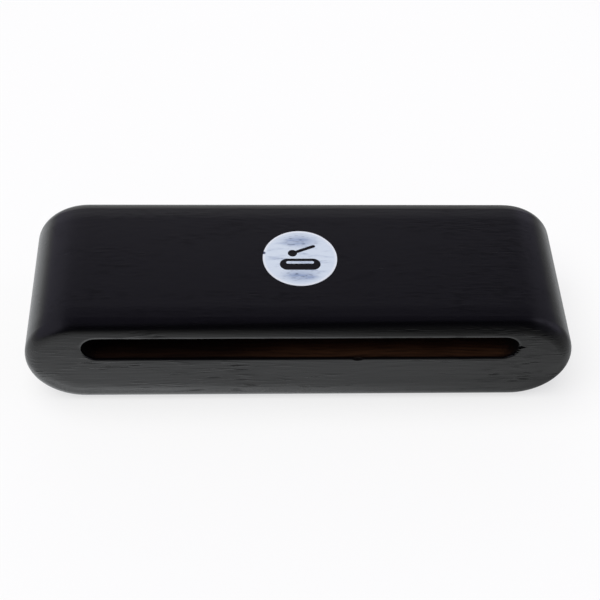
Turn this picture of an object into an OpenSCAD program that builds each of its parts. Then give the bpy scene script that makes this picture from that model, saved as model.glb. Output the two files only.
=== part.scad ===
// Woodblock: a solid hardwood block with full-round ends and one deep sound slot mortised into its front.
// The thin wall above the slot is the part that is struck. A round foil badge lies on the top face.
// X runs along the block, the slot opens towards -Y, +Z is up, and the origin is the centre of the base.

/* [Block] */
// Length of the block, over its round ends
block_length = 200; // [170:1:260]
// Depth of the block, from front to back
block_depth = 64; // [52:1:90]
// Height of the block, which is also the diameter of its round ends
block_height = 42; // [36:1:56]
// Rounding of the edges all round the front and back faces
edge_radius = 5; // [2:0.5:6]

/* [Sound slot] */
// Height of the slot, the diameter of the cutter that made it
slot_height = 11.5; // [8:0.5:15]
// Thickness of the wall above the slot, the one that is struck
roof_thickness = 6.5; // [4.5:0.5:9]
// Thickness of the wall behind the slot
back_wall = 14; // [8:1:24]
// Wood left beyond each end of the slot, measured along the block
end_wall = 21.2; // [16:0.1:40]
// Rounding of the slot's mouth
mouth_radius = 0.6; // [0.3:0.1:1.2]

/* [Tear-out at the slot's right end] */
// How far the longest splinter broke out, along the grain
splinter_length = 2.6; // [1:0.1:4]
// Height of the longest splinter at its root
splinter_height = 3.8; // [1:0.1:5]
// How deep the splinters broke into the face
splinter_depth = 1.8; // [0.8:0.1:3]

/* [Chip in the slot's lower lip] */
// Place of the chip, to the right of the middle
chip_x = 20.5; // [-50:0.5:50]
// Width of the chip along the lip
chip_width = 5; // [2.6:0.1:6]
// How far the chip reaches into the corner of the lip
chip_reach = 0.8; // [0.6:0.1:1.8]

/* [Badge] */
// Diameter of the badge
badge_diameter = 27.4; // [22:0.1:34]
// Thickness of the badge
badge_thickness = 0.15; // [0.1:0.01:0.4]
// How far the badge sits behind the middle of the top face
badge_y = 1.2; // [-4:0.1:4]

/* [Badge motif, a slotted block under a beater, cut out of the foil] */
// Length of the block in the motif
motif_length = 15; // [11:0.1:17]
// Height of the block in the motif
motif_height = 5.6; // [4:0.1:6.5]
// Height of the slot in the motif, a strip of foil
motif_slot_height = 1.2; // [0.6:0.1:1.6]
// Wall between the slot in the motif and each end of its block
motif_end_wall = 2.4; // [1:0.1:3]
// Diameter of the beater's head in the motif
motif_head_diameter = 3.4; // [2.4:0.1:4]
// Length of the beater's stick in the motif, from the middle of its head
motif_stick_length = 8.6; // [5:0.1:9]
// Width of the beater's stick in the motif
motif_stick_width = 1.4; // [0.6:0.1:2]
// Gap between the block and the beater in the motif
motif_gap = 1; // [0.6:0.1:1.6]

/* [Hidden] */

$fn = 96;

// Overrun of a cut past the face that it opens through
overrun = 1;

end_radius = block_height / 2;
end_x = block_length / 2 - end_radius;
front_y = -block_depth / 2;

slot_radius = slot_height / 2;
slot_end_x = block_length / 2 - end_wall - slot_radius;
slot_depth = block_depth - back_wall;
slot_z = block_height - roof_thickness - slot_radius;

// Each splinter: its place above the slot's middle, as a share of the slot's radius, then its length
// and its height, as shares of the longest splinter's
splinter_shares = [
    [0.08, 1.00, 1.00],
    [-0.24, 0.48, 0.40],
    [-0.44, 0.46, 0.42],
    [-0.68, 0.40, 0.36],
    [0.38, 0.26, 0.30]
];
// How far a splinter's root reaches back into the slot, as a share of the slot's radius
splinter_root_share = 0.25;

// The lip's corner points halfway between up and out
chip_tilt = 45;

// The motif's block lies below the badge's centre by this share of its height
motif_drop_share = 0.55;
// The slot lies above the middle of the motif's block by this share of its height
motif_slot_rise_share = 0.16;
// The beater's head lies left of the centre by this share of the block's length
motif_head_side_share = 0.18;
motif_stick_tilt = 24;

// A rectangle with round corners, centred
module rounded_rectangle(width, height, radius) {
    square([width - 2 * radius, height], center = true);
    square([width, height - 2 * radius], center = true);
    for (x_side = [-1, 1])
        for (y_side = [-1, 1])
            translate([x_side * (width / 2 - radius), y_side * (height / 2 - radius)])
                circle(r = radius);
}

// One round end of the block: half a turn about an axis that runs from front to back
module round_end() {
    rotate([90, 0, 0])
        rotate([0, 0, -90])
            rotate_extrude(angle = 180)
                intersection() {
                    rounded_rectangle(block_height, block_depth, edge_radius);
                    translate([0, -block_depth / 2])
                        square([end_radius, block_depth]);
                }
}

// The block before its slot is cut
module blank() {
    translate([0, 0, end_radius]) {
        rotate([90, 0, 90])
            linear_extrude(height = 2 * end_x, center = true)
                rounded_rectangle(block_depth, block_height, edge_radius);
        for (side = [0, 1])
            mirror([side, 0, 0])
                translate([end_x, 0, 0])
                    round_end();
    }
}

// Half of the slot's section, from its middle line outwards by depth from the face, with an eased mouth
module slot_half_section() {
    square([slot_radius, slot_depth]);
    translate([0, -overrun])
        square([slot_radius + mouth_radius, overrun]);
    difference() {
        square([slot_radius + mouth_radius, mouth_radius]);
        translate([slot_radius + mouth_radius, mouth_radius])
            circle(r = mouth_radius);
    }
}

// The air in the slot
module slot_cut() {
    translate([0, front_y, slot_z]) {
        for (side = [0, 1])
            mirror([0, 0, side])
                rotate([0, -90, 0])
                    linear_extrude(height = 2 * slot_end_x, center = true)
                        slot_half_section();
        for (side = [0, 1])
            mirror([side, 0, 0])
                translate([slot_end_x, 0, 0])
                    rotate([-90, 0, 0])
                        rotate([0, 0, -90])
                            rotate_extrude(angle = 180)
                                slot_half_section();
    }
}

// The pocket that one splinter left: it points along the grain, and shallows to nothing at its tip
module splinter_pocket(rise, length, height) {
    edge_x = sqrt(pow(slot_radius, 2) - pow(rise, 2));
    root_x = edge_x - splinter_root_share * slot_radius;
    tip_x = edge_x + length;
    translate([slot_end_x, front_y, slot_z + rise])
        intersection() {
            rotate([90, 0, 0])
                linear_extrude(height = 2 * splinter_depth, center = true)
                    polygon([[root_x, -height / 2], [tip_x, 0], [root_x, height / 2]]);
            linear_extrude(height = height, center = true)
                polygon([[root_x, -overrun], [tip_x, -overrun], [tip_x, 0], [root_x, splinter_depth]]);
        }
}

module tear_out() {
    for (share = splinter_shares)
        splinter_pocket(
            share[0] * slot_radius,
            share[1] * splinter_length,
            share[2] * splinter_height
        );
}

// A shallow round scoop out of the lip's corner, as wide as the chip where it meets the corner
module lip_chip() {
    scoop_radius = (pow(chip_width / 2, 2) + pow(chip_reach, 2)) / (2 * chip_reach);
    translate([chip_x, front_y, slot_z - slot_radius])
        rotate([chip_tilt, 0, 0])
            translate([0, 0, scoop_radius - chip_reach])
                sphere(r = scoop_radius);
}

module block() {
    color("#232126")
        difference() {
            blank();
            slot_cut();
            tear_out();
            lip_chip();
        }
}

// A bar with round ends, centred, lying along X
module round_bar(length, height) {
    for (side = [-1, 1])
        translate([side * (length - height) / 2, 0])
            circle(d = height);
    square([length - height, height], center = true);
}

module motif_block() {
    difference() {
        round_bar(motif_length, motif_height);
        translate([0, motif_slot_rise_share * motif_height])
            round_bar(motif_length - 2 * motif_end_wall, motif_slot_height);
    }
}

module motif_beater() {
    rotate([0, 0, motif_stick_tilt]) {
        circle(d = motif_head_diameter);
        translate([0, -motif_stick_width / 2])
            square([motif_stick_length, motif_stick_width]);
        translate([motif_stick_length, 0])
            circle(d = motif_stick_width);
    }
}

module motif() {
    block_y = -motif_drop_share * motif_height;
    beater_y = block_y + motif_height / 2 + motif_gap + motif_head_diameter / 2;
    translate([0, block_y])
        motif_block();
    translate([-motif_head_side_share * motif_length, beater_y])
        motif_beater();
}

module badge() {
    color("#cdd4e4")
        translate([0, badge_y, block_height])
            linear_extrude(height = badge_thickness)
                difference() {
                    circle(d = badge_diameter);
                    motif();
                }
}

block();
badge();
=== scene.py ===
from math import cos, pi, radians, sin

import bpy
from mathutils import Matrix, Vector


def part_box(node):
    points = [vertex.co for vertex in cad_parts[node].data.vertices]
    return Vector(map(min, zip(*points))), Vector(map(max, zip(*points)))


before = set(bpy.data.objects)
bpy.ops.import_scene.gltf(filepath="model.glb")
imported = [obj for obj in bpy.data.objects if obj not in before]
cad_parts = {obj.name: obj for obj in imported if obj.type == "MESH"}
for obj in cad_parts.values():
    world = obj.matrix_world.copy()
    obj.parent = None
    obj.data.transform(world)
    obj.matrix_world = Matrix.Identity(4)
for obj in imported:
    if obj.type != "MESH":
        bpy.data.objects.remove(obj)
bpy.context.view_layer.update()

# The block: one bar of open-pored hardwood with round ends, sanded by hand, dyed black and sprayed with
# satin lacquer. The slot is milled out of its front, and inside it the wood is bare, with a haze of the
# black spray that drifted in past the lips.
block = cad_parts["block"]
block_low, block_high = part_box("block")
block_middle_z = (block_low.z + block_high.z) / 2
end_radius = (block_high.z - block_low.z) / 2
end_x = block_high.x - end_radius

# The slot, and the torn part of the chip in its lower lip, in metres as every length here
slot_half_length = 0.0788
slot_half_height = 0.00575
slot_middle_z = 0.02975
slot_back_y = 0.018
chip_middle_x = 0.0205
chip_half_width = 0.0021

dyed_black = "#030304"
pore_shade_black = "#000000"
bare_heartwood = "#40291b"
bare_latewood = "#2b1a10"
spray_haze = "#060404"


def linear(hex_colour):
    """The linear colour, with alpha 1, of an sRGB hex value."""
    shares = [int(hex_colour[i:i + 2], 16) / 255 for i in (1, 3, 5)]
    return [c / 12.92 if c <= 0.04045 else ((c + 0.055) / 1.055) ** 2.4 for c in shares] + [1.0]


def add(tree, kind, inputs=None, **settings):
    """Adds a node to the tree, with its settings, and sets or links each of its inputs."""
    node = tree.nodes.new(kind)
    for name, value in settings.items():
        setattr(node, name, value)
    for socket, value in (inputs or {}).items():
        if isinstance(value, bpy.types.NodeSocket):
            tree.links.new(value, node.inputs[socket])
        else:
            node.inputs[socket].default_value = value
    return node


def grain_noise(tree, place, length, width, detail):
    """Noise drawn out along the grain, whose lumps have this length and this width."""
    cells = add(
        tree,
        "ShaderNodeVectorMath",
        {0: place, 1: (1 / length, 1 / width, 1 / width)},
        operation="MULTIPLY",
    )
    noise = add(tree, "ShaderNodeTexNoise", {"Vector": cells.outputs[0], "Scale": 1.0, "Detail": detail})
    return noise.outputs["Fac"]


def lacquered_open_pore_hardwood():
    """Black-dyed hardwood under satin lacquer: a soft sheen, broken by fine dashes where the pores lie."""
    material = bpy.data.materials.new("lacquered_open_pore_hardwood")
    material.use_nodes = True
    tree = material.node_tree
    tree.nodes.clear()

    # Where a point lies, how far it lies from the block's middle, and which way it faces
    place = add(tree, "ShaderNodeTexCoord").outputs["Object"]
    along = add(tree, "ShaderNodeSeparateXYZ", {0: place})
    middle = (0.0, 0.0, block_middle_z)
    away = add(tree, "ShaderNodeVectorMath", {0: place, 1: middle}, operation="SUBTRACT")
    away = add(tree, "ShaderNodeVectorMath", {0: away.outputs[0]}, operation="ABSOLUTE")
    sides = add(tree, "ShaderNodeSeparateXYZ", {0: away.outputs[0]})
    normal = add(tree, "ShaderNodeNewGeometry").outputs["Normal"]
    facing = add(tree, "ShaderNodeSeparateXYZ", {0: normal})
    lying_up = add(
        tree, "ShaderNodeMapRange", {"Value": facing.outputs["Z"], "From Min": 0.2, "From Max": 0.8}
    )

    # The fibres wander, and run a degree or two out of line with the block
    wander_length, wander_width = 0.080, 0.009
    wander = add(tree, "ShaderNodeTexNoise", {"Vector": place, "Scale": 1 / wander_length, "Detail": 1.0})
    shift = add(
        tree,
        "ShaderNodeVectorMath",
        {0: wander.outputs["Color"], 1: (0.0, wander_width, wander_width)},
        operation="MULTIPLY",
    )
    fibres = add(tree, "ShaderNodeVectorMath", {0: place, 1: shift.outputs[0]}, operation="ADD")

    # Pores, which show as dashes on the sides and dots on the ends. Real ones are 0.3 mm wide, and these
    # are drawn twice as wide, so that they still show from a step away
    pore_length, pore_spacing = 0.013, 0.0011
    pore_core, pore_edge = 0.04, 0.29
    pore_space = add(
        tree,
        "ShaderNodeVectorMath",
        {0: fibres.outputs[0], 1: (1 / pore_length, 1 / pore_spacing, 1 / pore_spacing)},
        operation="MULTIPLY",
    )
    pores = add(tree, "ShaderNodeTexVoronoi", {"Vector": pore_space.outputs[0], "Scale": 1.0})
    pit = add(
        tree,
        "ShaderNodeMapRange",
        {
            "Value": pores.outputs["Distance"],
            "From Min": pore_core,
            "From Max": pore_edge,
            "To Min": 1.0,
            "To Max": 0.0,
        },
        interpolation_type="SMOOTHSTEP",
    )
    # They come in bands, where the tree grew them in spring, and the lacquer closed most of the rest. The
    # openest wood lies below the slot, left of the middle, and at the right of the top
    band_length, band_width = 0.050, 0.009
    shift_right, shift_back, shift_up = 0.10, 0.10, 0.08
    closed_openness, top_openness, end_openness = 0.12, 0.05, 0.4
    bands = add(
        tree,
        "ShaderNodeVectorMath",
        {
            0: fibres.outputs[0],
            1: (1 / band_length, 1 / band_width, 1 / band_width),
            2: (shift_right / band_length, shift_back / band_width, shift_up / band_width),
        },
        operation="MULTIPLY_ADD",
    )
    bands = add(tree, "ShaderNodeTexNoise", {"Vector": bands.outputs[0], "Scale": 1.0, "Detail": 2.0})
    openness = add(
        tree,
        "ShaderNodeMapRange",
        {"Value": bands.outputs["Fac"], "From Min": 0.46, "From Max": 0.58, "To Min": closed_openness},
        interpolation_type="SMOOTHSTEP",
    )
    # On the face that lay up when it was sprayed, the wet lacquer closed nearly all of them
    levelled = add(
        tree, "ShaderNodeMapRange", {"Value": lying_up.outputs[0], "To Min": 1.0, "To Max": top_openness}
    )
    # The round ends were rubbed down with filler, which left only pinholes
    endward = add(tree, "ShaderNodeMath", {0: facing.outputs["X"]}, operation="ABSOLUTE")
    filled = add(
        tree,
        "ShaderNodeMapRange",
        {
            "Value": endward.outputs[0],
            "From Min": 0.3,
            "From Max": 0.8,
            "To Min": 1.0,
            "To Max": end_openness,
        },
    )
    in_band = openness
    for share in (levelled, filled):
        in_band = add(
            tree, "ShaderNodeMath", {0: in_band.outputs[0], 1: share.outputs[0]}, operation="MULTIPLY"
        )
    # Even there some pores never opened
    open_pores = 0.70
    chance = add(tree, "ShaderNodeSeparateXYZ", {0: pores.outputs["Color"]})
    opened = add(tree, "ShaderNodeMath", {0: chance.outputs["X"], 1: open_pores}, operation="LESS_THAN")
    for share in (in_band, opened):
        pit = add(tree, "ShaderNodeMath", {0: pit.outputs[0], 1: share.outputs[0]}, operation="MULTIPLY")

    # Fine fibres that the dye raised. On the top the wet lacquer flowed over them, and only short lengths
    # of them still show
    fibre_length, top_fibre_length, fibre_width = 0.015, 0.0055, 0.0009
    fuzz = grain_noise(tree, fibres.outputs[0], fibre_length, fibre_width, 2.0)
    top_fuzz = grain_noise(tree, fibres.outputs[0], top_fibre_length, fibre_width, 1.0)
    shown_fuzz = add(
        tree, "ShaderNodeMix", {0: lying_up.outputs[0], 2: fuzz, 3: top_fuzz}, data_type="FLOAT"
    )
    # In the pores' bands, short bundles of fibres stand proud and catch the light along one side. They
    # rise by this share of the fibres' height
    bundle_length, bundle_width, bundle_rise = 0.0085, 0.00085, 0.8
    bundles = grain_noise(tree, fibres.outputs[0], bundle_length, bundle_width, 0.0)
    proud = add(
        tree,
        "ShaderNodeMapRange",
        {"Value": bundles, "From Min": 0.60, "From Max": 0.76, "To Max": bundle_rise},
        interpolation_type="SMOOTHSTEP",
    )
    proud = add(tree, "ShaderNodeMath", {0: proud.outputs[0], 1: in_band.outputs[0]}, operation="MULTIPLY")

    # Hand sanding lets each face fall away a little before it meets its round edge. The fall starts and
    # ends this far inside the block's outline
    fall, fall_start, fall_end = 0.00028, 0.0105, 0.0015
    outward = away
    for step, operation in (
        ((end_x, 0.0, 0.0), "SUBTRACT"),
        ((0.0, 0.0, 0.0), "MAXIMUM"),
        ((1.0, 0.0, 1.0), "MULTIPLY"),
    ):
        outward = add(tree, "ShaderNodeVectorMath", {0: outward.outputs[0], 1: step}, operation=operation)
    outward = add(tree, "ShaderNodeVectorMath", {0: outward.outputs[0]}, operation="LENGTH")
    fall_back = add(
        tree,
        "ShaderNodeMapRange",
        {
            "Value": sides.outputs["Y"],
            "From Min": block_high.y - fall_start,
            "From Max": block_high.y - fall_end,
            "To Max": -fall,
        },
        interpolation_type="SMOOTHSTEP",
    )
    fall_out = add(
        tree,
        "ShaderNodeMapRange",
        {
            "Value": outward.outputs["Value"],
            "From Min": end_radius - fall_start,
            "From Max": end_radius - fall_end,
            "To Max": -fall,
        },
        interpolation_type="SMOOTHSTEP",
    )
    # The lower edges, which nobody sees or strikes, were sanded rounder than the upper ones
    low_z, upper_z = 0.010, 0.020
    times_rounder = 3.0
    lower = add(
        tree,
        "ShaderNodeMapRange",
        {"Value": along.outputs["Z"], "From Min": low_z, "From Max": upper_z, "To Min": times_rounder},
    )
    sanded = add(
        tree,
        "ShaderNodeMath",
        {0: fall_out.outputs[0], 1: lower.outputs[0], 2: fall_back.outputs[0]},
        operation="MULTIPLY_ADD",
    )
    # The lowest few millimetres are rounder still towards the left, where the sander dwelt
    dwelt_fall, dwelt_start, dwelt_end = 0.00085, 0.008, 0.002
    dwelt_top_z = 0.018
    dwelt_x = 0.070
    dwelt = add(
        tree,
        "ShaderNodeMapRange",
        {
            "Value": outward.outputs["Value"],
            "From Min": end_radius - dwelt_start,
            "From Max": end_radius - dwelt_end,
        },
        interpolation_type="SMOOTHSTEP",
    )
    leftmost = add(
        tree,
        "ShaderNodeMapRange",
        {
            "Value": along.outputs["X"],
            "From Min": -dwelt_x,
            "From Max": dwelt_x,
            "To Min": -dwelt_fall,
            "To Max": 0.0,
        },
    )
    lowest = add(
        tree,
        "ShaderNodeMapRange",
        {
            "Value": along.outputs["Z"],
            "From Min": low_z,
            "From Max": dwelt_top_z,
            "To Min": 1.0,
            "To Max": 0.0,
        },
    )
    dwelt = add(tree, "ShaderNodeMath", {0: dwelt.outputs[0], 1: leftmost.outputs[0]}, operation="MULTIPLY")
    sanded = add(
        tree,
        "ShaderNodeMath",
        {0: dwelt.outputs[0], 1: lowest.outputs[0], 2: sanded.outputs[0]},
        operation="MULTIPLY_ADD",
    )

    # The upper front edge is crisp at the left and was sanded off towards the right: there it turns away
    # from the top sooner, and meets the front later, about the slope where it neither gains nor loses
    crisp_x, sanded_off_x = -0.070, 0.050
    crisp_turn, sanded_off_turn = -1.4, 2.1
    even_slope = 0.5
    topness = add(tree, "ShaderNodeMath", {0: facing.outputs["Z"], 1: 0.0}, operation="MAXIMUM")
    past_turn = add(tree, "ShaderNodeMath", {0: topness.outputs[0], 1: even_slope}, operation="SUBTRACT")
    frontness = add(tree, "ShaderNodeMath", {0: facing.outputs["Y"], 1: 0.0}, operation="MINIMUM")
    taken_off = add(
        tree,
        "ShaderNodeMapRange",
        {
            "Value": along.outputs["X"],
            "From Min": crisp_x,
            "From Max": sanded_off_x,
            "To Min": crisp_turn,
            "To Max": sanded_off_turn,
        },
    )
    turn = topness
    for share in (past_turn, frontness, frontness, taken_off):
        turn = add(tree, "ShaderNodeMath", {0: turn.outputs[0], 1: share.outputs[0]}, operation="MULTIPLY")
    frontward = add(
        tree, "ShaderNodeVectorMath", {0: (1.0, 0.0, 0.0), 1: normal}, operation="CROSS_PRODUCT"
    )
    turned = add(
        tree,
        "ShaderNodeVectorMath",
        {0: frontward.outputs[0], 1: turn.outputs[0], 2: normal},
        operation="MULTIPLY_ADD",
    )
    turned = add(tree, "ShaderNodeVectorMath", {0: turned.outputs[0]}, operation="NORMALIZE")

    # How far a point lies outside the slot's wall, seen from the front: less than zero inside the slot
    past_end = add(
        tree,
        "ShaderNodeMath",
        {0: sides.outputs["X"], 1: slot_half_length - slot_half_height},
        operation="SUBTRACT",
    )
    past_end = add(tree, "ShaderNodeMath", {0: past_end.outputs[0], 1: 0.0}, operation="MAXIMUM")
    over_slot = add(tree, "ShaderNodeMath", {0: along.outputs["Z"], 1: slot_middle_z}, operation="SUBTRACT")
    from_slot = add(tree, "ShaderNodeCombineXYZ", {0: past_end.outputs[0], 2: over_slot.outputs[0]})
    from_slot = add(tree, "ShaderNodeVectorMath", {0: from_slot.outputs[0]}, operation="LENGTH")
    outside_slot = add(
        tree,
        "ShaderNodeMath",
        {0: from_slot.outputs["Value"], 1: slot_half_height},
        operation="SUBTRACT",
    )
    # The slot is blind, and the back of the block is as plain as its top
    plain_y = slot_back_y + 0.001
    before_back = add(tree, "ShaderNodeMath", {0: along.outputs["Y"], 1: plain_y}, operation="LESS_THAN")

    # The lip above the slot is eased by hand with paper, and it catches the light of the table
    mouth_edge, eased_edge, eased_fall = 0.0004, 0.0011, 0.00016
    eased = add(
        tree,
        "ShaderNodeMapRange",
        {
            "Value": outside_slot.outputs[0],
            "From Min": mouth_edge,
            "From Max": eased_edge,
            "To Min": -eased_fall,
            "To Max": 0.0,
        },
    )
    upper_lip = add(tree, "ShaderNodeMath", {0: over_slot.outputs[0], 1: 0.0}, operation="GREATER_THAN")
    for share in (upper_lip, before_back):
        eased = add(
            tree, "ShaderNodeMath", {0: eased.outputs[0], 1: share.outputs[0]}, operation="MULTIPLY"
        )

    # A few specks of dust dried into the lacquer
    speck_spacing, speck_radius, speck_height = 0.016, 0.000576, 0.00006
    specks = add(tree, "ShaderNodeTexVoronoi", {"Vector": place, "Scale": 1 / speck_spacing})
    speck = add(
        tree,
        "ShaderNodeMapRange",
        {
            "Value": specks.outputs["Distance"],
            "From Max": speck_radius / speck_spacing,
            "To Min": speck_height,
            "To Max": 0.0,
        },
        interpolation_type="SMOOTHSTEP",
    )

    # The relief of the sanding is in metres. Fibres stand up from it, on the top by a fifth at least of
    # their height elsewhere, and pores go down into it
    fibre_height, pore_depth = 0.00010, 0.00017
    least_fibrous = 0.20
    relief = sanded
    for height in (eased, speck):
        relief = add(tree, "ShaderNodeMath", {0: relief.outputs[0], 1: height.outputs[0]}, operation="ADD")
    sanding = add(
        tree,
        "ShaderNodeBump",
        {"Height": relief.outputs[0], "Distance": 1.0, "Strength": 1.0, "Normal": turned.outputs[0]},
    )
    fibrous = add(tree, "ShaderNodeMath", {0: levelled.outputs[0], 1: least_fibrous}, operation="MAXIMUM")
    raised = add(
        tree,
        "ShaderNodeMath",
        {0: shown_fuzz.outputs[0], 1: fibrous.outputs[0], 2: proud.outputs[0]},
        operation="MULTIPLY_ADD",
    )
    fibre_bump = add(
        tree,
        "ShaderNodeBump",
        {
            "Height": raised.outputs[0],
            "Distance": fibre_height,
            "Strength": 1.0,
            "Normal": sanding.outputs[0],
        },
    )
    pore_bump = add(
        tree,
        "ShaderNodeBump",
        {
            "Height": pit.outputs[0],
            "Distance": pore_depth,
            "Strength": 1.0,
            "Normal": fibre_bump.outputs[0],
        },
        invert=True,
    )

    # Inside the slot the wood is bare, behind a haze of spray at the mouth, and the brown is darker towards
    # the left
    dim_left_x, full_brown_x = -0.035, 0.010
    hazy_depth, clear_depth = 0.0005, 0.0021
    leftmost_brown_share = 0.27
    in_slot = add(
        tree, "ShaderNodeMath", {0: outside_slot.outputs[0], 1: mouth_edge}, operation="LESS_THAN"
    )
    depth = add(tree, "ShaderNodeMath", {0: along.outputs["Y"], 1: block_low.y}, operation="SUBTRACT")
    left_dimming = add(
        tree,
        "ShaderNodeMapRange",
        {
            "Value": along.outputs["X"],
            "From Min": dim_left_x,
            "From Max": full_brown_x,
            "To Min": leftmost_brown_share,
        },
        interpolation_type="SMOOTHSTEP",
    )
    bare = add(
        tree,
        "ShaderNodeMapRange",
        {"Value": depth.outputs[0], "From Min": hazy_depth, "From Max": clear_depth},
        interpolation_type="SMOOTHSTEP",
    )
    for share in (in_slot, before_back):
        bare = add(tree, "ShaderNodeMath", {0: bare.outputs[0], 1: share.outputs[0]}, operation="MULTIPLY")
    # Towards both ends of the slot the brown fades to black
    brown_x, black_end_x = 0.0715, 0.0790
    away_from_slot_ends = add(
        tree,
        "ShaderNodeMapRange",
        {
            "Value": sides.outputs["X"],
            "From Min": brown_x,
            "From Max": black_end_x,
            "To Min": 1.0,
            "To Max": 0.0,
        },
        interpolation_type="SMOOTHSTEP",
    )
    brown = bare
    for share in (left_dimming, away_from_slot_ends):
        brown = add(
            tree, "ShaderNodeMath", {0: brown.outputs[0], 1: share.outputs[0]}, operation="MULTIPLY"
        )

    # The wood is rough under the haze, and so it is in the chip and in the tear-out, where it broke: what
    # lies a little behind the front, and outside the slot's rounded mouth
    mouth_outer, chip_outer, torn_outer = 0.0007, 0.00002, 0.0030
    torn_top_z = slot_middle_z + 0.0045
    torn_start, torn_end = 0.00005, 0.00305
    chip = add(
        tree,
        "ShaderNodeMath",
        {0: along.outputs["X"], 1: chip_middle_x, 2: chip_half_width},
        operation="COMPARE",
    )
    mouth = add(
        tree,
        "ShaderNodeMath",
        {0: chip.outputs[0], 1: chip_outer - mouth_outer, 2: mouth_outer},
        operation="MULTIPLY_ADD",
    )
    broken = add(
        tree, "ShaderNodeMath", {0: outside_slot.outputs[0], 1: mouth.outputs[0]}, operation="GREATER_THAN"
    )
    near = add(tree, "ShaderNodeMath", {0: outside_slot.outputs[0], 1: torn_outer}, operation="LESS_THAN")
    low = add(tree, "ShaderNodeMath", {0: along.outputs["Z"], 1: torn_top_z}, operation="LESS_THAN")
    shallow = add(
        tree,
        "ShaderNodeMath",
        {0: depth.outputs[0], 1: (torn_start + torn_end) / 2, 2: (torn_end - torn_start) / 2},
        operation="COMPARE",
    )
    for share in (near, low, shallow):
        broken = add(
            tree, "ShaderNodeMath", {0: broken.outputs[0], 1: share.outputs[0]}, operation="MULTIPLY"
        )
    rough = add(tree, "ShaderNodeMath", {0: bare.outputs[0], 1: broken.outputs[0]}, operation="MAXIMUM")

    grain = add(tree, "ShaderNodeMapRange", {"Value": fuzz, "From Min": 0.36, "From Max": 0.64})
    wood = add(
        tree,
        "ShaderNodeMix",
        {0: grain.outputs[0], 6: linear(bare_latewood), 7: linear(bare_heartwood)},
        data_type="RGBA",
    )
    # Open pores are painted a deeper black than the dyed wood, as painted shade in their hollows
    dyed = add(
        tree,
        "ShaderNodeMix",
        {0: pit.outputs[0], 6: linear(dyed_black), 7: linear(pore_shade_black)},
        data_type="RGBA",
    )
    coated = add(
        tree,
        "ShaderNodeMix",
        {0: rough.outputs[0], 6: dyed.outputs[2], 7: linear(spray_haze)},
        data_type="RGBA",
    )
    colour = add(
        tree,
        "ShaderNodeMix",
        {0: brown.outputs[0], 6: coated.outputs[2], 7: wood.outputs[2]},
        data_type="RGBA",
    )

    satin_roughness, pore_roughness, bare_roughness = 0.26, 0.6, 0.8
    satin = add(
        tree,
        "ShaderNodeMapRange",
        {"Value": pit.outputs[0], "To Min": satin_roughness, "To Max": pore_roughness},
    )
    finish = add(
        tree,
        "ShaderNodeMix",
        {0: rough.outputs[0], 2: satin.outputs[0], 3: bare_roughness},
        data_type="FLOAT",
    )
    # The lacquer sank in along the fibres, a little less on the top, and gives back less light there.
    # Little comes back off torn wood, and an open pore is given less shine as painted shade in its hollow
    level_shine, sunk_shine, shaded_pore_shine, bare_shine = 0.53, 0.37, 0.35, 0.2
    top_sunk = 0.82
    sunk = add(
        tree,
        "ShaderNodeMapRange",
        {"Value": shown_fuzz.outputs[0], "From Min": 0.46, "From Max": 0.66},
        interpolation_type="SMOOTHSTEP",
    )
    less_sunk = add(
        tree, "ShaderNodeMapRange", {"Value": lying_up.outputs[0], "To Min": 1.0, "To Max": top_sunk}
    )
    for share in (openness, less_sunk):
        sunk = add(tree, "ShaderNodeMath", {0: sunk.outputs[0], 1: share.outputs[0]}, operation="MULTIPLY")
    glossy = add(
        tree, "ShaderNodeMapRange", {"Value": sunk.outputs[0], "To Min": level_shine, "To Max": sunk_shine}
    )
    shine = add(
        tree, "ShaderNodeMix", {0: pit.outputs[0], 2: glossy.outputs[0], 3: shaded_pore_shine}, data_type="FLOAT"
    )
    shine = add(
        tree, "ShaderNodeMix", {0: rough.outputs[0], 2: shine.outputs[0], 3: bare_shine}, data_type="FLOAT"
    )

    surface = add(
        tree,
        "ShaderNodeBsdfPrincipled",
        {
            "Base Color": colour.outputs[2],
            "Roughness": finish.outputs[0],
            "Specular IOR Level": shine.outputs[0],
            "IOR": 1.46,
            "Normal": pore_bump.outputs[0],
        },
    )
    add(tree, "ShaderNodeOutputMaterial", {"Surface": surface.outputs[0]})
    return material


block.material_slots[0].material = lacquered_open_pore_hardwood()

# The badge: a round label of self-adhesive silver film, 0.15 mm thick, pressed onto the lacquer over the
# thin wall. Its motif is cut out, so the black wood shows through.
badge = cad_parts["badge"]
badge_low, badge_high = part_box("badge")
badge_radius = (badge_high.x - badge_low.x) / 2
badge_middle = (badge_low + badge_high) / 2

silver_film = "#e4effb"
shaded_film = "#95a7c8"
rim_highlight = "#f2f8ff"
bared_scratch = "#3d4767"


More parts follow.
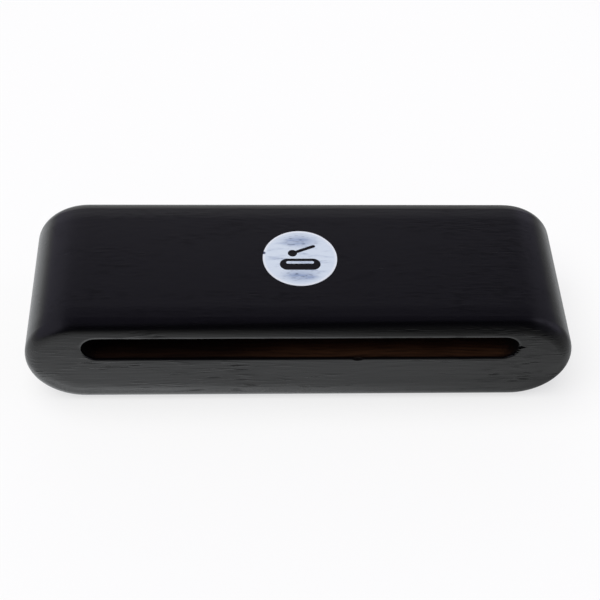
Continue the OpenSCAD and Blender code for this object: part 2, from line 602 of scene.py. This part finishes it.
def pressed_silver_film():
    """Metallised label film: dull silver with a blue cast, streaked where it was rubbed over pores."""
    material = bpy.data.materials.new("metallised_label_film")
    material.use_nodes = True
    tree = material.node_tree
    tree.nodes.clear()
    place = add(tree, "ShaderNodeTexCoord").outputs["Object"]
    flat = add(tree, "ShaderNodeVectorMath", {0: place, 1: (1.0, 1.0, 0.0)}, operation="MULTIPLY")
    across = add(
        tree,
        "ShaderNodeVectorMath",
        {0: flat.outputs[0], 1: (badge_middle.x, badge_middle.y, 0.0)},
        operation="SUBTRACT",
    )
    radius = add(tree, "ShaderNodeVectorMath", {0: across.outputs[0]}, operation="LENGTH")

    # Broad blue-grey streaks along the grain, most of them in two worn patches, above and below the motif
    streak_length, streak_width = 0.011, 0.0022
    patch_y, patch_core, patch_edge = 0.0092, 0.0010, 0.0052
    streaked_radius, clean_radius = 0.0100, 0.0125
    streak_share, patch_share, clean_share = 0.45, 0.62, 0.15
    streaks = grain_noise(tree, flat.outputs[0], streak_length, streak_width, 3.0)
    streak = add(
        tree,
        "ShaderNodeMapRange",
        {"Value": streaks, "From Min": 0.45, "From Max": 0.68},
        interpolation_type="SMOOTHSTEP",
    )
    patch = add(tree, "ShaderNodeVectorMath", {0: across.outputs[0]}, operation="ABSOLUTE")
    for step, operation in (((0.0, patch_y, 0.0), "SUBTRACT"), ((0.5, 1.0, 0.0), "MULTIPLY")):
        patch = add(tree, "ShaderNodeVectorMath", {0: patch.outputs[0], 1: step}, operation=operation)
    patch = add(tree, "ShaderNodeVectorMath", {0: patch.outputs[0]}, operation="LENGTH")
    worn = add(
        tree,
        "ShaderNodeMapRange",
        {
            "Value": patch.outputs["Value"],
            "From Min": patch_core,
            "From Max": patch_edge,
            "To Min": patch_share,
            "To Max": 0.0,
        },
        interpolation_type="SMOOTHSTEP",
    )
    streak = add(
        tree,
        "ShaderNodeMath",
        {0: streak.outputs[0], 1: streak_share, 2: worn.outputs[0]},
        operation="MULTIPLY_ADD",
    )
    inside = add(
        tree,
        "ShaderNodeMapRange",
        {
            "Value": radius.outputs["Value"],
            "From Min": streaked_radius,
            "From Max": clean_radius,
            "To Min": 1.0,
            "To Max": clean_share,
        },
    )
    streak = add(
        tree,
        "ShaderNodeMath",
        {0: streak.outputs[0], 1: inside.outputs[0]},
        operation="MULTIPLY",
        use_clamp=True,
    )

    # Short scratches, where the film broke over a pore
    scratch_length, scratch_width = 0.0026, 0.0006
    scratches = grain_noise(tree, flat.outputs[0], scratch_length, scratch_width, 1.0)
    scratch = add(
        tree,
        "ShaderNodeMapRange",
        {"Value": scratches, "From Min": 0.56, "From Max": 0.70},
        interpolation_type="SMOOTHSTEP",
    )
    scratch = add(
        tree, "ShaderNodeMath", {0: scratch.outputs[0], 1: streak.outputs[0]}, operation="MULTIPLY"
    )

    # Along the punched edge the film is painted brighter, a painted highlight where the edge rises, and the
    # punch left a nick at its left
    rim_width, rim_blur = 0.0011, 0.0006
    nick_place = (-0.0133, 0.0038, badge_high.z)
    nick_core, nick_edge = 0.0004, 0.0009
    rim_start = badge_radius - rim_width
    rim = add(
        tree,
        "ShaderNodeMapRange",
        {"Value": radius.outputs["Value"], "From Min": rim_start, "From Max": rim_start + rim_blur},
        interpolation_type="SMOOTHSTEP",
    )
    from_nick = add(tree, "ShaderNodeVectorMath", {0: place, 1: nick_place}, operation="DISTANCE")
    nick = add(
        tree,
        "ShaderNodeMapRange",
        {"Value": from_nick.outputs["Value"], "From Min": nick_edge, "From Max": nick_core},
    )

    tone = linear(silver_film)
    for share, colour in (
        (streak, shaded_film),
        (scratch, bared_scratch),
        (rim, rim_highlight),
        (nick, bared_scratch),
    ):
        mix = add(
            tree, "ShaderNodeMix", {0: share.outputs[0], 6: tone, 7: linear(colour)}, data_type="RGBA"
        )
        tone = mix.outputs[2]
    clean_roughness, streaked_roughness = 0.42, 0.55
    crease_height = 0.00004
    dullness = add(
        tree,
        "ShaderNodeMapRange",
        {"Value": streak.outputs[0], "To Min": clean_roughness, "To Max": streaked_roughness},
    )
    creases = add(tree, "ShaderNodeBump", {"Height": streaks, "Distance": crease_height, "Strength": 1.0})
    surface = add(
        tree,
        "ShaderNodeBsdfPrincipled",
        {
            "Base Color": tone,
            "Metallic": 0.3,
            "Roughness": dullness.outputs[0],
            "Normal": creases.outputs[0],
        },
    )
    add(tree, "ShaderNodeOutputMaterial", {"Surface": surface.outputs[0]})
    return material


badge.material_slots[0].material = pressed_silver_film()

# The studio: a white table without an edge, a soft lamp overhead, and a room that is bright in a wide
# window behind the block, grey overhead and dark behind the camera.
near_white = "#fdfdfd"
far_white = "#f0f0f0"

floor_half = 20.0
floor_mesh = bpy.data.meshes.new("floor")
floor_mesh.from_pydata(
    [(x * floor_half, y * floor_half, 0) for x, y in ((-1, -1), (1, -1), (1, 1), (-1, 1))],
    [],
    [(0, 1, 2, 3)],
)
floor = bpy.data.objects.new("floor", floor_mesh)
bpy.context.scene.collection.objects.link(floor)
table = bpy.data.materials.new("white_table")
table.use_nodes = True
top = table.node_tree
top.nodes.clear()
table_place = add(top, "ShaderNodeTexCoord").outputs["Object"]
table_way = add(top, "ShaderNodeSeparateXYZ", {0: table_place})
spot = add(top, "ShaderNodeVectorMath", {0: table_place}, operation="LENGTH")
# The table's white greys a little away from the block, a painted falloff of the lamp's light out to the
# room's colour at the horizon
near_radius, far_radius = 0.20, 0.70
spread = add(
    top,
    "ShaderNodeMapRange",
    {"Value": spot.outputs["Value"], "From Min": near_radius, "From Max": far_radius},
    interpolation_type="SMOOTHSTEP",
)
white = add(
    top,
    "ShaderNodeMix",
    {0: spread.outputs[0], 6: linear(near_white), 7: linear(far_white)},
    data_type="RGBA",
)
matte = add(top, "ShaderNodeBsdfDiffuse", {"Color": white.outputs[2]})


def falloff(value, low, high, stops):
    """A grey that follows the value from low to high: each stop is where it lies and how bright it is."""
    share = add(top, "ShaderNodeMapRange", {"Value": value, "From Min": low, "From Max": high})
    node = add(top, "ShaderNodeValToRGB", {"Fac": share.outputs[0]})
    while len(node.color_ramp.elements) < len(stops):
        node.color_ramp.elements.new(0.5)
    for element, (place, light) in zip(node.color_ramp.elements, stops):
        element.position = (place - low) / (high - low)
        element.color = (light, light, light, 1.0)
    return node.outputs["Color"]


# In the lacquer the table shows a painted reflection: painted white near the block and at its left, as a
# painted pool of the lamp's light, falling to a cool grey further off
sideways = falloff(table_way.outputs["X"], -0.5, 0.5, [
    (-0.42, 0.35), (-0.30, 0.72), (-0.20, 1.0), (-0.08, 1.0), (0.08, 0.72), (0.13, 0.66), (0.19, 0.40),
    (0.30, 0.33),
])
forward = falloff(table_way.outputs["Y"], -0.2, 0.0, [
    (-0.075, 0.66), (-0.060, 0.80), (-0.048, 1.0), (0.0, 1.0),
])
slant = add(top, "ShaderNodeVectorMath", {0: table_place, 1: (-0.5, 1.0, 0.0)}, operation="DOT_PRODUCT")
slant = falloff(slant.outputs["Value"], -0.4, 0.0, [
    (-0.34, 0.13), (-0.23, 0.25), (-0.15, 0.50), (-0.10, 0.82), (-0.07, 1.0), (0.0, 1.0),
])
far_off = falloff(spot.outputs["Value"], 0.0, 0.5, [(0.18, 1.0), (0.42, 0.35)])
light = sideways
for part in (forward, slant, far_off):
    light = add(top, "ShaderNodeVectorMath", {0: light, 1: part}, operation="MULTIPLY").outputs[0]
cool_grey = (0.38, 0.38, 0.38)
up_to_white = (0.58, 0.60, 0.62)
painted_reflection = add(
    top, "ShaderNodeVectorMath", {0: light, 1: up_to_white, 2: cool_grey}, operation="MULTIPLY_ADD"
)
# A painted shadow of the block lies along its foot in this reflection, towards its right end, and the
# painted table dims further right
painted_foot_shadow = falloff(table_way.outputs["X"], -0.1, 0.2, [
    (-0.05, 1.0), (0.0, 0.85), (0.03, 0.68), (0.06, 0.57), (0.083, 0.52), (0.093, 0.30), (0.108, 0.30),
    (0.128, 1.0), (0.150, 0.92), (0.200, 0.70),
])
shadow_width = 0.012
beside = add(
    top,
    "ShaderNodeMapRange",
    {
        "Value": table_way.outputs["Y"],
        "From Min": block_low.y - shadow_width,
        "From Max": block_low.y,
    },
)
painted_shadow = add(
    top,
    "ShaderNodeMix",
    {0: beside.outputs[0], 6: (1.0, 1.0, 1.0, 1.0), 7: painted_foot_shadow},
    data_type="RGBA",
)
painted_reflection = add(top, "ShaderNodeVectorMath", {0: painted_reflection.outputs[0], 1: painted_shadow.outputs[2]}, operation="MULTIPLY")
# Mirrors see the painted reflection, every other ray the table's plain white
ray = add(top, "ShaderNodeLightPath")
lit = add(
    top,
    "ShaderNodeMix",
    {0: ray.outputs["Is Glossy Ray"], 6: white.outputs[2], 7: painted_reflection.outputs[0]},
    data_type="RGBA",
)
glow = add(top, "ShaderNodeEmission", {"Color": lit.outputs[2], "Strength": 1.0})
mirrored = add(
    top,
    "ShaderNodeMath",
    {0: ray.outputs["Is Glossy Ray"], 1: ray.outputs["Is Transmission Ray"]},
    operation="ADD",
)
# The camera sees mostly the table's own white, and the block's shadow on the rest of it
own_white = 0.7
share = add(
    top,
    "ShaderNodeMath",
    {0: ray.outputs["Is Camera Ray"], 1: own_white, 2: mirrored.outputs[0]},
    operation="MULTIPLY_ADD",
    use_clamp=True,
)
mixed = add(top, "ShaderNodeMixShader", {0: share.outputs[0], 1: matte.outputs[0], 2: glow.outputs[0]})
add(top, "ShaderNodeOutputMaterial", {"Surface": mixed.outputs[0]})
floor.data.materials.append(table)

world = bpy.data.worlds.new("studio")
bpy.context.scene.world = world
world.use_nodes = True
sky = world.node_tree
sky.nodes.clear()
way = add(sky, "ShaderNodeSeparateXYZ", {0: add(sky, "ShaderNodeTexCoord").outputs["Generated"]})
back = add(sky, "ShaderNodeMapRange", {"Value": way.outputs["Y"], "From Min": -1.0, "From Max": 1.0})

violet_red, violet_blue = 0.11, 0.52
wall_tint = (1.0, 0.955, 1.22)


def part_of_room(stops, tint=(1.0, 1.0, 1.0)):
    """One part of the room: each stop is how far back it lies, from -1 to 1, how bright, and how violet."""
    node = add(sky, "ShaderNodeValToRGB", {"Fac": back.outputs[0]})
    ramp = node.color_ramp
    while len(ramp.elements) < len(stops):
        ramp.elements.new(0.5)
    for element, (place, light, violet) in zip(ramp.elements, stops):
        element.position = (place + 1) / 2
        shade = (light * (1 + violet_red * violet), light, light * (1 + violet_blue * violet))
        element.color = [a * b for a, b in zip(shade, tint)] + [1.0]
    return node.outputs["Color"]


middle = part_of_room([
    (-1.0, 0.25, 0), (-0.94, 0.11, 0), (-0.87, 0.025, 1), (-0.60, 0.01, 1), (-0.47, 0.025, 1),
    (-0.33, 0.05, 1), (-0.19, 0.08, 1), (0.0, 0.10, 1), (0.57, 0.103, 1), (0.66, 0.162, 0.9),
    (0.70, 0.22, 0.7), (0.75, 0.36, 0.5), (0.79, 0.62, 0.3), (0.84, 1.0, 0), (1.0, 1.0, 0),
])
left_wall = part_of_room([
    (-1.0, 0.10, 0), (-0.80, 0.20, 0), (-0.60, 0.42, 0), (-0.40, 0.47, 0), (0.0, 0.46, 0),
    (0.40, 0.41, 0), (0.62, 0.28, 0), (0.70, 0.36, 0), (0.78, 0.50, 0), (0.84, 1.0, 0), (1.0, 1.0, 0),
], wall_tint)
right_wall = part_of_room([
    (-1.0, 0.15, 0), (-0.70, 0.12, 0), (-0.45, 0.18, 0), (-0.25, 0.32, 0), (-0.10, 0.52, 0),
    (0.15, 0.54, 0), (0.40, 0.36, 0), (0.52, 0.22, 0), (0.64, 0.17, 0), (0.70, 0.22, 0), (0.84, 1.0, 0),
    (1.0, 1.0, 0),
], wall_tint)
low_wall = part_of_room([
    (-1.0, 0.40, 0), (-0.6, 0.50, 0), (0.0, 0.60, 0), (0.7, 0.55, 0), (0.85, 1.0, 0), (1.0, 1.0, 0),
])
leftward = add(
    sky,
    "ShaderNodeMapRange",
    {"Value": way.outputs["X"], "From Min": -0.38, "From Max": -0.66},
    interpolation_type="SMOOTHSTEP",
)
rightward = add(
    sky,
    "ShaderNodeMapRange",
    {"Value": way.outputs["X"], "From Min": 0.40, "From Max": 0.62},
    interpolation_type="SMOOTHSTEP",
)
above = add(
    sky,
    "ShaderNodeMapRange",
    {"Value": way.outputs["Z"], "From Min": 0.01, "From Max": 0.10},
    interpolation_type="SMOOTHSTEP",
)
# Overhead the room is a little brighter at the left, on the lamp's side
lamp_side = add(
    sky,
    "ShaderNodeMapRange",
    {"Value": way.outputs["X"], "From Min": -0.20, "From Max": 0.25, "To Min": 1.05, "To Max": 0.84},
)
middle = add(sky, "ShaderNodeVectorMath", {0: middle, 3: lamp_side.outputs[0]}, operation="SCALE")
# The camera sees the room as the far end of the white table
seen = add(sky, "ShaderNodeLightPath")
room = low_wall
for share, part in (
    (above.outputs[0], middle.outputs[0]),
    (leftward.outputs[0], left_wall),
    (rightward.outputs[0], right_wall),
    (seen.outputs["Is Camera Ray"], linear(far_white)),
):
    room = add(sky, "ShaderNodeMix", {0: share, 6: room, 7: part}, data_type="RGBA").outputs[2]
room_light = add(sky, "ShaderNodeBackground", {"Color": room, "Strength": 1.0})
add(sky, "ShaderNodeOutputWorld", {"Surface": room_light.outputs[0]})

# The lamp: as wide and soft as a shaded ceiling light, a little to the left. A white face that is turned to
# it shows at four fifths of full white. The lacquer doesn't mirror it, because the table and the room are
# already as bright as they show there, the table by a painted reflection of the lamp's light
lamp_light = 0.80
lamp = bpy.data.lights.new("soft_lamp", "SUN")
lamp.energy = lamp_light * pi
lamp.angle = radians(56)
lamp.color = (1.0, 1.0, 0.965)
lamp_object = bpy.data.objects.new("soft_lamp", lamp)
bpy.context.scene.collection.objects.link(lamp_object)
lamp_object.rotation_euler = (radians(6), radians(-16), 0)
lamp_object.visible_glossy = False

# The camera: a 79 mm lens half a metre away, above the front and a little to the left
view_azimuth, view_elevation, view_roll = radians(-4.4), radians(48.88), radians(3.18)
view_distance = 0.50335
view_target = Vector((0.00078, 0.0, 0.01996))
camera = bpy.data.objects.new("camera", bpy.data.cameras.new("camera"))
bpy.context.scene.collection.objects.link(camera)
camera.data.sensor_width = 36.0
camera.data.lens = 79.4
backwards = Vector((
    sin(view_azimuth) * cos(view_elevation),
    -cos(view_azimuth) * cos(view_elevation),
    sin(view_elevation),
))
level = Vector((cos(view_azimuth), sin(view_azimuth), 0.0))
upright = backwards.cross(level)
rightwards = level * cos(view_roll) + upright * sin(view_roll)
upwards = upright * cos(view_roll) - level * sin(view_roll)
camera.matrix_world = Matrix.Translation(view_target + backwards * view_distance) @ Matrix(
    (rightwards, upwards, backwards)
).transposed().to_4x4()
camera.data.clip_start = 0.01
bpy.context.scene.camera = camera
bpy.context.scene.view_settings.view_transform = "Standard"
